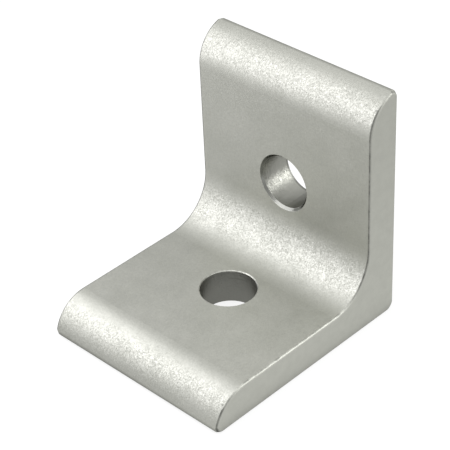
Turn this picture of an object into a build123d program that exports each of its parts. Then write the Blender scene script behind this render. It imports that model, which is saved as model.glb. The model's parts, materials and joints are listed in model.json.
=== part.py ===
from build123d import *
import os
from math import asin, degrees, radians, sqrt, tan

# Corner bracket for slotted aluminium framing: a length of L-shaped extrusion with a bolt hole in each leg.
# X runs along the extrusion. The base lies on Z = 0, and the upright's mounting face looks to +Y.
# The origin is the middle of the base's bolt hole, on the face that it is bolted down to.
# Sizes are in millimetres.

# Legs, each measured from the sharp outer corner
base_length = 40.0
base_wall = 6.0
upright_height = 40.0
upright_wall = 6.0

# Rounds along the extrusion
inside_radius = 8.0
outside_radius = 1.5
tip_radius = 6.4
tip_edge_radius = 1.0

# Sawn length, and the rounds that tumbling leaves: on the sawn edges, on the two corners of each tip as
# seen square to its mounting face, and on the mounting face's rim round those corners. The two angles, in
# degrees, are how the corners' rounds run out away from the mounting face, and the rim's along the sides.
cut_length = 35.0
sawn_edge_radius = 0.4
tip_corner_radius = 1.5
corner_lean = 14.0
rim_radius = 0.8
run_out_angle = 4.0

# Bolt holes: distance from the outer corner, bore, and chamfer at the inner face
base_hole_distance = 19.0
base_hole_diameter = 9.0
base_hole_chamfer = 0.15
upright_hole_distance = 19.0
upright_hole_diameter = 9.0
upright_hole_chamfer = 0.4

# How far the cutting shapes run on past the metal
overrun = 2.0


def leg_section(length, wall):
    # A leg lies along X with its mounting face on Y = 0. Its tip has a large round on the inner side
    # and a small one on the outer side. They touch, or a thick wall leaves a flat end between them.
    overlap = max(tip_radius + tip_edge_radius - wall, 0)
    reach = sqrt((tip_radius - tip_edge_radius) ** 2 - overlap ** 2)
    edge_centre = Vector(length - tip_edge_radius, tip_edge_radius)
    tip_centre = Vector(edge_centre.X - reach, wall - tip_radius)
    touch = degrees(asin(overlap / (tip_radius - tip_edge_radius)))
    inner_round = CenterArc(tip_centre, tip_radius, touch, 90 - touch)
    outer_round = CenterArc(edge_centre, tip_edge_radius, -90, 90 + touch)
    outline = Polyline((edge_centre.X, 0), (0, 0), (0, wall), (tip_centre.X, wall)) + inner_round + outer_round
    if wall > tip_radius + tip_edge_radius:
        outline += Line((length, tip_centre.Y), (length, edge_centre.Y))
    return make_face(outline)


def l_section():
    # Both legs, with the large round in the inside corner and the small one on the outside corner.
    base = leg_section(base_length, base_wall)
    diagonal = Plane(origin=(0, 0, 0), z_dir=(1, -1, 0))
    upright = mirror(leg_section(upright_height, upright_wall), about=diagonal)
    section = base + upright
    corners = section.vertices()
    section = fillet(corners.sort_by_distance((upright_wall, base_wall))[0], inside_radius)
    corners = section.vertices()
    return fillet(corners.sort_by_distance((0, 0))[0], outside_radius)


def extrusion():
    # The section stands in the YZ plane and runs half the cut length to each side.
    outer_corner = Plane(origin=(0, base_hole_distance, 0), x_dir=(0, -1, 0), z_dir=(-1, 0, 0))
    body = extrude(outer_corner * l_section(), cut_length / 2, both=True)
    sawn_edges = body.faces().filter_by(Axis.X).edges()
    return fillet(sawn_edges, sawn_edge_radius)


def tip_trim(length, mounting_face, depth):
    # The space that a leg is tumbled down to: its outline with round tip corners, from past the outer
    # corner to the tip along +Y, and into the metal along +Z. Its sides lean outwards, so it is wider
    # than the leg away from the tip and away from the mounting face, and takes down only the corners.
    half_width = cut_length / 2
    wide_end = half_width + tan(radians(run_out_angle)) * (length + overrun)
    corners = [(-wide_end, -overrun), (-half_width, length), (half_width, length), (wide_end, -overrun)]
    outline = make_face(Polyline(*corners, close=True))
    tip_corners = outline.vertices().sort_by(Axis.Y)[-2:]
    space = extrude(fillet(tip_corners, tip_corner_radius), depth + overrun, taper=-corner_lean)
    rim = space.faces().sort_by(Axis.Z)[0].edges().sort_by(Axis.Y)[1:]
    return mounting_face * fillet(rim, rim_radius)


def tumbled_body():
    # The extrusion with the corners of both tips taken down.
    base_face = Plane(origin=(0, base_hole_distance, 0), x_dir=(-1, 0, 0), z_dir=(0, 0, 1))
    upright_face = Plane(origin=(0, base_hole_distance, 0), x_dir=(1, 0, 0), z_dir=(0, -1, 0))
    base_trim = tip_trim(base_length, base_face, upright_height)
    upright_trim = tip_trim(upright_height, upright_face, base_length)
    return extrusion() & base_trim & upright_trim


def bolt_hole(wall, diameter, chamfer_size):
    # A drill that enters at the inner face, Z = wall, and leaves through the mounting face, Z = 0.
    radius = diameter / 2
    drill = Pos(0, 0, wall / 2) * Cylinder(radius, wall + 2 * overrun)
    countersink = Pos(0, 0, wall - chamfer_size / 2) * Cone(radius, radius + chamfer_size, chamfer_size)
    return drill + countersink


def corner_bracket():
    # The upright's drill lies on its side and goes in at the inner face and out through the back.
    base_drill = bolt_hole(base_wall, base_hole_diameter, base_hole_chamfer)
    upright_drill = bolt_hole(upright_wall, upright_hole_diameter, upright_hole_chamfer)
    upright_hole = Plane(origin=(0, base_hole_distance, upright_hole_distance), z_dir=(0, -1, 0))
    return tumbled_body() - base_drill - upright_hole * upright_drill


os.makedirs("parts", exist_ok=True)
export_step(corner_bracket(), "parts/corner_bracket.step")
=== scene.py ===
import bpy
import bmesh
import json
import math
from mathutils import Matrix, Quaternion, Vector


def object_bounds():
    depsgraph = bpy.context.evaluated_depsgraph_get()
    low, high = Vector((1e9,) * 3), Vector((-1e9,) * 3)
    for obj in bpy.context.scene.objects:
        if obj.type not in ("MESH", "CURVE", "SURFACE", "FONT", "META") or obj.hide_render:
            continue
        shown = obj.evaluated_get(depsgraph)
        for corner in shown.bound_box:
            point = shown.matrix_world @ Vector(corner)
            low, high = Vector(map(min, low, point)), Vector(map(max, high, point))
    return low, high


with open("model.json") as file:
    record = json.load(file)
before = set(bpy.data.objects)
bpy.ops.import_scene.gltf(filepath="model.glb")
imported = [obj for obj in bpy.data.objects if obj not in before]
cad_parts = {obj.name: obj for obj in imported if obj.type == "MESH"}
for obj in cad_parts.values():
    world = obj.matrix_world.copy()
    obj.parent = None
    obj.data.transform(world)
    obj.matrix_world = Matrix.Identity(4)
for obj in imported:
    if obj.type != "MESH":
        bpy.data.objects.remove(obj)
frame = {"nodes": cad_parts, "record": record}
cadBox = [list(corner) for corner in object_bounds()]
holes = {mount["name"]: mount for mount in frame["record"]["mounts"] if mount["kind"] == "bore"}
mm = 0.001

# small helpers for materials

def newMaterial(name):
    material = bpy.data.materials.new(name)
    material.use_nodes = True
    tree = material.node_tree
    return material, tree, tree.nodes["Principled BSDF"]

def fill(tree, node, inputs):
    # each input takes a value or another node's output
    for name, value in inputs.items():
        if isinstance(value, bpy.types.NodeSocket):
            tree.links.new(value, node.inputs[name])
        else:
            node.inputs[name].default_value = value

def putNode(tree, kind, inputs=None, **settings):
    node = tree.nodes.new(kind)
    for name, value in settings.items():
        setattr(node, name, value)
    fill(tree, node, inputs or {})
    return node

def calc(tree, operation, first, second=0.0, third=0.0):
    node = putNode(tree, "ShaderNodeMath", {0: first, 1: second, 2: third}, operation=operation)
    return node.outputs[0]

def fold(tree, operation, first, *others):
    # one operation over several values, such as the highest of three
    result = first
    for other in others:
        result = calc(tree, operation, result, other)
    return result

def vector(tree, operation, first, second=(0.0, 0.0, 0.0), scale=1.0):
    node = putNode(tree, "ShaderNodeVectorMath", {0: first, 1: second, 3: scale}, operation=operation)
    return node.outputs["Value" if operation in ("LENGTH", "DISTANCE", "DOT_PRODUCT") else "Vector"]

def split(tree, value):
    return putNode(tree, "ShaderNodeSeparateXYZ", {0: value}).outputs

def offAxis(tree, first, second):
    # distance from an axis, by the two coordinates square to it
    across = putNode(tree, "ShaderNodeCombineXYZ", {"X": first, "Y": second})
    return vector(tree, "LENGTH", across.outputs[0])

def ramp(tree, value, low, high, atLow=0.0, atHigh=1.0):
    # goes smoothly from atLow to atHigh as value goes from low to high
    node = putNode(tree, "ShaderNodeMapRange", {"Value": value, "From Min": low, "From Max": high,
                   "To Min": atLow, "To Max": atHigh}, interpolation_type="SMOOTHSTEP")
    return node.outputs["Result"]

def mixNumber(tree, factor, first, second):
    node = putNode(tree, "ShaderNodeMix", {0: factor, 2: first, 3: second})
    return node.outputs[0]

def mixColor(tree, factor, first, second, blend="MIX"):
    node = putNode(tree, "ShaderNodeMix", {0: factor, 6: first, 7: second},
                   data_type="RGBA", blend_type=blend)
    return node.outputs[2]

def tint(tree, color, tone):
    return mixColor(tree, 1.0, color, tone, "MULTIPLY")

def noise(tree, place, pattern):
    node = putNode(tree, "ShaderNodeTexNoise", {"Vector": place, "Scale": pattern["scale"],
                   "Detail": pattern["detail"], "Roughness": pattern["roughness"]})
    return node.outputs["Fac"]

def varied(tree, place, pattern):
    # wanders from one tone to the other as the noise goes through the span
    return ramp(tree, noise(tree, place, pattern), *pattern["span"], *pattern["tones"])

def bump(tree, height, strength, distance, normal):
    node = putNode(tree, "ShaderNodeBump", {"Height": height, "Strength": strength, "Distance": distance,
                   "Normal": normal})
    return node.outputs[0]

def opaque(color):
    return (*color, 1.0)

# the bracket's finish: sawn, tumbled, blasted, then clear anodised

bracketFinish = {
    # blasted faces: their metal, tone flecks, and broad faint patches in the anodising
    "metal": (0.430, 0.434, 0.396),
    "specks": {"scale": 2600.0, "detail": 2.0, "roughness": 0.7, "span": (0.3, 0.7), "tones": (0.965, 1.03)},
    "cloud": (0.405, 0.410, 0.372),
    "clouds": {"scale": 140.0, "detail": 3.0, "roughness": 0.6, "span": (0.35, 0.68), "tones": (0.0, 1.0)},
    "grazing": (0.55, 0.55, 0.53),       # the film dims the metal where it is seen edge on
    "roughness": 0.53,
    "patches": {"scale": 420.0, "detail": 2.0, "roughness": 0.5, "span": (0.3, 0.7), "tones": (-0.03, 0.03)},

    # the blasting's grain: pits, each a facet under 0.2 mm across, over softer dimples
    "pitScale": 5800.0,
    "pitTilt": 0.095,                    # how far most facets are tipped
    "deepTilt": 0.105,                   # and how much further the few deepest are
    "deepRarity": 5.0,
    "pitRoughness": 0.15,                # how much rougher or smoother a pit is than the rest
    "dimples": {"scale": 2400.0, "detail": 2.0, "roughness": 0.55},
    "dimpleHeight": 0.020 * mm,
    "flatGrain": 0.38,                   # the grain's strength on flats, where the rounds have 1
    "flatSpan": (0.92, 0.99),            # how square to an axis a flat stands, by its normal
    "topGrain": 0.22,                    # on what looks up, as the light from overhead brings it out
    "topSpan": (0.76, 1.0),
    "footGrain": 0.55,                   # close to the foot
    "footSpan": (1.5 * mm, 4.0 * mm),
    "endGrain": 0.25,                    # on the ends, their edges and the chamfer
    "boreGrain": 0.70,

    # the two cut ends and their tumbled edges, whose spans count edge radii inwards from the end
    "sawn": (0.453, 0.458, 0.418),
    "sawing": {"scale": 520.0, "detail": 4.0, "roughness": 0.7, "span": (0.3, 0.7), "tones": (0.97, 1.03)},
    "cutEndSpan": (0.05, 0.005),         # where the cut end sets in
    "cutEndRoughness": 0.55,
    "edgeRadius": 0.4 * mm,
    "edgeSpan": (1.0, 0.75),             # where the edge sets in
    "edgeLimit": (0.45, 0.1),            # and where it gives way
    # painted shade: the end edges are darkened in their colour, a dark line standing in for the shade they
    # reflect
    "edgeShadeTone": 0.42,                    # how dark the edges' painted shade is, of the metal
    "topEdgeShadeTone": 0.80,                 # and where they look up, where less shade is painted
    "topEdgeSpan": (0.50, 0.78),         # how far up that is, by the normal
    "tipDrop": (1.4 * mm, 0.7 * mm),     # above this, under the bracket's top, all the edges get that lighter painted shade
    # the wear varies how dark the painted edge shade is, patch by patch
    "edgeShadeWear": {"scale": 700.0, "detail": 3.0, "roughness": 0.65, "span": (0.3, 0.65), "tones": (0.75, 1.35)},
    "endEdgeRoughness": 0.36,
    "nicks": [                           # small knocks on the tips' right edges
        (16.95 * mm, -19.05 * mm, 4.4 * mm),
        (17.05 * mm, 14.6 * mm, 38.2 * mm),
    ],
    "nickRadii": (0.096 * mm, 0.32 * mm),  # of its dark middle, and of all of it
    "nickTone": 0.55,

    # drilled walls, with lines round them, and the upright's smooth countersunk chamfer
    "bore": (0.306, 0.308, 0.280),
    "boreRoughness": 0.385,
    "baseChamfer": 0.02 * mm,            # how far past its radius the base's bore still looks drilled
    "farRimSpan": (0.55 * mm, 0.1 * mm),  # short of the far rim, where the upright's bore gets darker with painted shade
    "farRimTone": 0.55,
    "drillLines": {"scale": 4200.0, "detail": 2.0, "roughness": 0.6},
    "drillStretch": 0.08,
    "drillHeight": 0.050 * mm,
    # the chamfer's colour is dark as painted shade, for the dark ring round the upright's bore
    "chamfer": (0.215, 0.218, 0.200),
    "chamferRoughness": 0.22,
    "chamferSize": 0.4 * mm,
    "blend": 0.04 * mm,                  # over which the chamfer's look starts and stops
}

def bracketRegions(tree, finish):
    # masks of the ends, their edges, the bores and the chamfer, by place on the bracket
    place = putNode(tree, "ShaderNodeTexCoord").outputs["Object"]
    surface = putNode(tree, "ShaderNodeNewGeometry").outputs["Normal"]
    x, y, z = split(tree, place)
    at = {"place": place, "z": z, "surface": surface, "upward": split(tree, surface)["Z"]}

    fromMiddle = calc(tree, "ABSOLUTE", x)
    def towardsEnd(span):
        return ramp(tree, fromMiddle, *[cadBox[1][0] - share * finish["edgeRadius"] for share in span])
    at["cutEnd"] = towardsEnd(finish["cutEndSpan"])
    at["nearEnd"] = towardsEnd(finish["edgeSpan"])
    at["endEdge"] = calc(tree, "SUBTRACT", at["nearEnd"], towardsEnd(finish["edgeLimit"]))

    baseRadius = holes["base_hole"]["dims"]["r_mm"] * mm
    at["inBase"] = calc(tree, "LESS_THAN", offAxis(tree, x, y), baseRadius + finish["baseChamfer"])

    upright = holes["upright_hole"]
    uprightRadius, wall = upright["dims"]["r_mm"] * mm, upright["dims"]["length_mm"] * mm
    aboveBore = calc(tree, "SUBTRACT", z, upright["pos_m"][2])
    inUpright = calc(tree, "LESS_THAN", offAxis(tree, x, aboveBore), uprightRadius + finish["chamferSize"])
    depth = calc(tree, "SUBTRACT", y, upright["pos_m"][1] - wall)  # into the upright, from its inner face
    at["cutIn"] = calc(tree, "MULTIPLY", inUpright, ramp(tree, depth, 0.0, finish["blend"]))
    deeper = ramp(tree, depth, finish["chamferSize"] - finish["blend"], finish["chamferSize"])
    at["chamfer"] = calc(tree, "MULTIPLY", at["cutIn"], calc(tree, "SUBTRACT", 1.0, deeper))
    at["bore"] = calc(tree, "MAXIMUM", at["inBase"], calc(tree, "MULTIPLY", at["cutIn"], deeper))
    farLimits = [wall - short for short in finish["farRimSpan"]]
    at["farRim"] = ramp(tree, depth, *farLimits, 1.0, finish["farRimTone"])
    return at

def grainStrength(tree, finish, at):
    # 1 on the rounds, and less as the finish says
    squarest = fold(tree, "MAXIMUM", *split(tree, vector(tree, "ABSOLUTE", at["surface"])))
    flat = ramp(tree, squarest, *finish["flatSpan"], 1.0, finish["flatGrain"])
    top = ramp(tree, at["upward"], *finish["topSpan"], 1.0, finish["topGrain"])
    foot = ramp(tree, at["z"], *finish["footSpan"], finish["footGrain"], 1.0)
    kept = mixNumber(tree, calc(tree, "MAXIMUM", at["nearEnd"], at["chamfer"]), 1.0, finish["endGrain"])
    kept = mixNumber(tree, at["bore"], kept, finish["boreGrain"])
    return fold(tree, "MULTIPLY", calc(tree, "MINIMUM", flat, top), foot, kept)

def edgeShadeAndWear(tree, finish, at):
    # the end edges' painted shade, varied by wear, lighter where they look up and near the top; 1 elsewhere
    tone = ramp(tree, at["upward"], *finish["topEdgeSpan"], finish["edgeShadeTone"], finish["topEdgeShadeTone"])
    wornShade = calc(tree, "MULTIPLY", varied(tree, at["place"], finish["edgeShadeWear"]), tone)
    tipLimits = [cadBox[1][2] - drop for drop in finish["tipDrop"]]
    wornShade = mixNumber(tree, ramp(tree, at["z"], *tipLimits), wornShade, finish["topEdgeShadeTone"])
    return mixNumber(tree, at["endEdge"], 1.0, wornShade)

def bracketColor(tree, finish, at):
    place = at["place"]
    clouds = varied(tree, place, finish["clouds"])
    color = mixColor(tree, clouds, opaque(finish["metal"]), opaque(finish["cloud"]))
    color = tint(tree, color, varied(tree, place, finish["specks"]))
    sawn = tint(tree, opaque(finish["sawn"]), varied(tree, place, finish["sawing"]))
    color = mixColor(tree, at["cutEnd"], color, sawn)
    color = mixColor(tree, at["bore"], color, opaque(finish["bore"]))
    # painted shade: the upright's bore darkens in its colour towards its far rim
    color = tint(tree, color, mixNumber(tree, at["cutIn"], 1.0, at["farRim"]))
    # the chamfer's dark colour is painted shade
    color = mixColor(tree, at["chamfer"], color, opaque(finish["chamfer"]))
    # painted shade along the end edges, varied by wear
    color = tint(tree, color, edgeShadeAndWear(tree, finish, at))
    for nick in finish["nicks"]:
        fromNick = vector(tree, "DISTANCE", place, nick)
        color = tint(tree, color, ramp(tree, fromNick, *finish["nickRadii"], finish["nickTone"], 1.0))
    return color

def bracketRoughness(tree, finish, at, strength, chance):
    # each region's own, and in the grain each pit's
    rough = calc(tree, "ADD", varied(tree, at["place"], finish["patches"]), finish["roughness"])
    for region in ("cutEnd", "bore", "chamfer", "endEdge"):
        rough = mixNumber(tree, at[region], rough, finish[region + "Roughness"])
    polish = calc(tree, "SUBTRACT", split(tree, chance["Color"])["X"], 0.5)
    change = calc(tree, "MULTIPLY", polish, 2 * finish["pitRoughness"])
    return calc(tree, "MULTIPLY_ADD", change, strength, rough)

def bracketRelief(tree, finish, at, strength, pits, chance):
    # each pit's facet is tipped its own way, over softer dimples, and fine lines run round the bores
    facet = vector(tree, "SUBTRACT", pits, (0.5, 0.5, 0.5))  # the cells' values run from 0 to 1
    deep = calc(tree, "POWER", chance["Value"], finish["deepRarity"])
    tilt = calc(tree, "MULTIPLY_ADD", deep, 2 * finish["deepTilt"], 2 * finish["pitTilt"])
    facet = vector(tree, "SCALE", facet, scale=calc(tree, "MULTIPLY", strength, tilt))
    pitted = vector(tree, "NORMALIZE", vector(tree, "ADD", at["surface"], facet))
    dimples = noise(tree, at["place"], finish["dimples"])
    dimpled = bump(tree, dimples, strength, finish["dimpleHeight"], pitted)
    stretch = finish["drillStretch"]
    alongBase = vector(tree, "MULTIPLY", at["place"], (stretch, stretch, 1.0))
    alongUpright = vector(tree, "MULTIPLY", at["place"], (stretch, 1.0, stretch))
    along = putNode(tree, "ShaderNodeMix", {0: at["inBase"], 4: alongUpright, 5: alongBase},
                    data_type="VECTOR").outputs[1]
    lines = noise(tree, along, finish["drillLines"])
    return bump(tree, lines, at["bore"], finish["drillHeight"], dimpled)

def bracketMaterial(finish):
    material, tree, shader = newMaterial("blastedAluminium")
    at = bracketRegions(tree, finish)
    strength = grainStrength(tree, finish, at)
    cells = putNode(tree, "ShaderNodeTexVoronoi", {"Vector": at["place"], "Scale": finish["pitScale"]})
    pits = cells.outputs["Color"]
    chance = putNode(tree, "ShaderNodeTexWhiteNoise", {"Vector": pits}).outputs  # each pit's random values
    fill(tree, shader, {
        "Metallic": 1.0,
        "Specular Tint": opaque(finish["grazing"]),
        "Base Color": bracketColor(tree, finish, at),
        "Roughness": bracketRoughness(tree, finish, at, strength, chance),
        "Normal": bracketRelief(tree, finish, at, strength, pits, chance),
    })
    return material

bracket = frame["nodes"]["corner_bracket"]
bracket.material_slots[0].material = bracketMaterial(bracketFinish)
print("bracket: finish done")

# floor

floorLook = {
    "size": 3.0,
    "drop": 0.02 * mm,                   # just under the bracket's foot
    "color": (0.93, 0.93, 0.925),
    "flecks": {"scale": 60.0, "detail": 3.0, "roughness": 0.6, "span": (0.3, 0.7), "tones": (0.985, 1.0)},
    "roughness": 0.9,
    "whiteness": 0.8,                    # the share seen plain white, as the rest takes light and shadow
    "underFoot": 0.50,                   # how much of the white is left under the bracket, a painted shadow there
    "footFade": (-1 * mm, 2 * mm),       # where it comes back, past the bracket's sides
    "greyAt": (-58 * mm, 66 * mm, 0.0),  # a greyer patch behind, seen in the edges that turn away
    "greyReach": (50 * mm, 75 * mm),     # from where it fades, and to where
    "grey": 0.30,
    "shadeAt": (-20 * mm, -44 * mm, 0.0),  # and another close in front, where the bracket shades it
    "shadeReach": (20 * mm, 44 * mm),
    "shade": 0.58,
    "outwards": (25 * mm, 155 * mm),     # and fading outwards at the right, counted along X and Y together
    "faded": 0.6,
}

def floorGlow(tree, look, place):
    # how white the bracket sees the floor, with painted shadow under the bracket and in front
    axes = split(tree, place)
    # painted shadow: the glow stays low under the bracket and comes back past its sides
    glow = look["underFoot"]
    for axis, name in enumerate("XY"):
        low, high = cadBox[0][axis], cadBox[1][axis]
        fromMiddle = calc(tree, "ABSOLUTE", calc(tree, "SUBTRACT", axes[name], (low + high) / 2))
        beside = ramp(tree, fromMiddle, *[(high - low) / 2 + fade for fade in look["footFade"]])
        glow = calc(tree, "MAXIMUM", glow, beside)
    fromGrey = vector(tree, "DISTANCE", place, look["greyAt"])
    grey = ramp(tree, fromGrey, *look["greyReach"], look["grey"], 1.0)
    fromShade = vector(tree, "DISTANCE", place, look["shadeAt"])
    shade = ramp(tree, fromShade, *look["shadeReach"], look["shade"], 1.0)
    outwards = calc(tree, "ADD", axes["X"], axes["Y"])
    fading = ramp(tree, outwards, *look["outwards"], 1.0, look["faded"])
    return fold(tree, "MULTIPLY", glow, grey, shade, fading)

def floorMaterial(look):
    material, tree, shader = newMaterial("floorPaper")
    place = putNode(tree, "ShaderNodeTexCoord").outputs["Object"]
    color = tint(tree, opaque(look["color"]), varied(tree, place, look["flecks"]))
    fill(tree, shader, {"Base Color": color, "Roughness": look["roughness"]})
    path = putNode(tree, "ShaderNodeLightPath").outputs
    glow = mixNumber(tree, path["Is Camera Ray"], floorGlow(tree, look, place), 1.0)
    white = putNode(tree, "ShaderNodeEmission", {"Color": (1, 1, 1, 1), "Strength": glow})
    seen = fold(tree, "MAXIMUM", path["Is Camera Ray"], path["Is Glossy Ray"], path["Is Transmission Ray"])
    share = calc(tree, "MULTIPLY", seen, look["whiteness"])
    paper = putNode(tree, "ShaderNodeMixShader", {0: share, 1: shader.outputs[0], 2: white.outputs[0]})
    fill(tree, tree.nodes["Material Output"], {"Surface": paper.outputs[0]})
    return material

def makeFloor(look):
    mesh = bmesh.new()
    bmesh.ops.create_grid(mesh, x_segments=1, y_segments=1, size=look["size"] / 2)
    bmesh.ops.translate(mesh, vec=(0, 0, -look["drop"]), verts=mesh.verts)
    data = bpy.data.meshes.new("floor")
    mesh.to_mesh(data)
    mesh.free()
    data.materials.append(floorMaterial(look))
    floor = bpy.data.objects.new("floor", data)
    bpy.context.scene.collection.objects.link(floor)
    return floor

makeFloor(floorLook)
print("floor: done")

# light: an even pale studio, a box in front, a low one at the left front and one behind at the right

studio = {
    "skyColor": (1.0, 1.0, 1.0),
    "skyLevel": 0.85,
    "brightSide": (0.0, 0.0, 1.0),       # brighter overhead
    "brightBy": 0.95,
    "dimSide": (-0.58, 0.57, 0.58),      # dimmer high at the back on the left
    "dimBy": 0.42,
    "sideSpan": (0.3, 1.0),              # how near to its side, as a cosine, each begins and is full
    "aim": (0.0, 0.0, 18 * mm),
    "lamps": {
        "frontBox": {"at": (-59 * mm, -54 * mm, 80 * mm), "width": 130 * mm, "height": 98 * mm,
                     "glow": 2.1, "color": (0.965, 0.950, 1.0)},
        "lowBox": {"at": (-116 * mm, -98 * mm, 28 * mm), "width": 100 * mm, "height": 40 * mm,
                   "glow": 1.3, "color": (0.965, 0.950, 1.0)},
        "backBox": {"at": (315 * mm, 258 * mm, 165 * mm), "width": 280 * mm, "height": 210 * mm,
                    "glow": 4.15, "color": (1.0, 1.0, 1.0)},
    },
}

def makeSky(light):
    world = bpy.data.worlds.new("studio")
    world.use_nodes = True
    tree = world.node_tree
    way = putNode(tree, "ShaderNodeTexCoord").outputs["Generated"]
    towardsBright = vector(tree, "DOT_PRODUCT", way, light["brightSide"])
    bright = ramp(tree, towardsBright, *light["sideSpan"], 0.0, light["brightBy"])
    towardsDim = vector(tree, "DOT_PRODUCT", way, light["dimSide"])
    dim = ramp(tree, towardsDim, *light["sideSpan"], 0.0, light["dimBy"])
    level = calc(tree, "ADD", light["skyLevel"], calc(tree, "SUBTRACT", bright, dim))
    seen = putNode(tree, "ShaderNodeLightPath").outputs["Is Camera Ray"]
    strength = mixNumber(tree, seen, level, 1.0)  # the camera sees plain white
    fill(tree, tree.nodes["Background"], {"Color": opaque(light["skyColor"]), "Strength": strength})
    bpy.context.scene.world = world

def makeLamp(name, lamp, aim):
    data = bpy.data.lights.new(name, "AREA")
    data.shape = "RECTANGLE"
    data.size, data.size_y = lamp["width"], lamp["height"]
    data.color = lamp["color"]
    data.energy = lamp["glow"] * math.pi * lamp["width"] * lamp["height"]  # glow is the face's brightness
    box = bpy.data.objects.new(name, data)
    box.location = lamp["at"]
    back = (Vector(lamp["at"]) - Vector(aim)).normalized()
    up = back.cross(Vector((1, 0, 0))).normalized()  # the box's width runs along the bracket
    box.rotation_mode = "QUATERNION"
    box.rotation_quaternion = Matrix((up.cross(back), up, back)).transposed().to_quaternion()
    box.visible_camera = False
    bpy.context.scene.collection.objects.link(box)

makeSky(studio)
for lampName, lampLook in studio["lamps"].items():
    makeLamp(lampName, lampLook, studio["aim"])
print("light: done")

# camera, matched to the photograph

cameraView = {
    "azimuth": 45.367,                   # degrees round from the front, towards the right
    "elevation": 35.276,
    "roll": -2.720,
    "lens": 133.75,
    "sensor": 36.0,
    "distance": 251.53 * mm,
    "aim": (0.938 * mm, -1.046 * mm, 19.011 * mm),
    "clip": (0.01, 20.0),
}

def makeCamera(view):
    data = bpy.data.cameras.new("camera")
    data.lens, data.sensor_width = view["lens"], view["sensor"]
    data.clip_start, data.clip_end = view["clip"]
    camera = bpy.data.objects.new("camera", data)
    azimuth, elevation = math.radians(view["azimuth"]), math.radians(view["elevation"])
    back = Vector((math.sin(azimuth) * math.cos(elevation), -math.cos(azimuth) * math.cos(elevation),
                   math.sin(elevation)))
    camera.location = Vector(view["aim"]) + back * view["distance"]
    camera.rotation_mode = "QUATERNION"
    level = back.to_track_quat("Z", "Y")
    camera.rotation_quaternion = level @ Quaternion((0, 0, 1), math.radians(view["roll"]))
    bpy.context.scene.collection.objects.link(camera)
    bpy.context.scene.camera = camera

makeCamera(cameraView)
bpy.context.scene.view_settings.view_transform = "Standard"
print("camera: done")
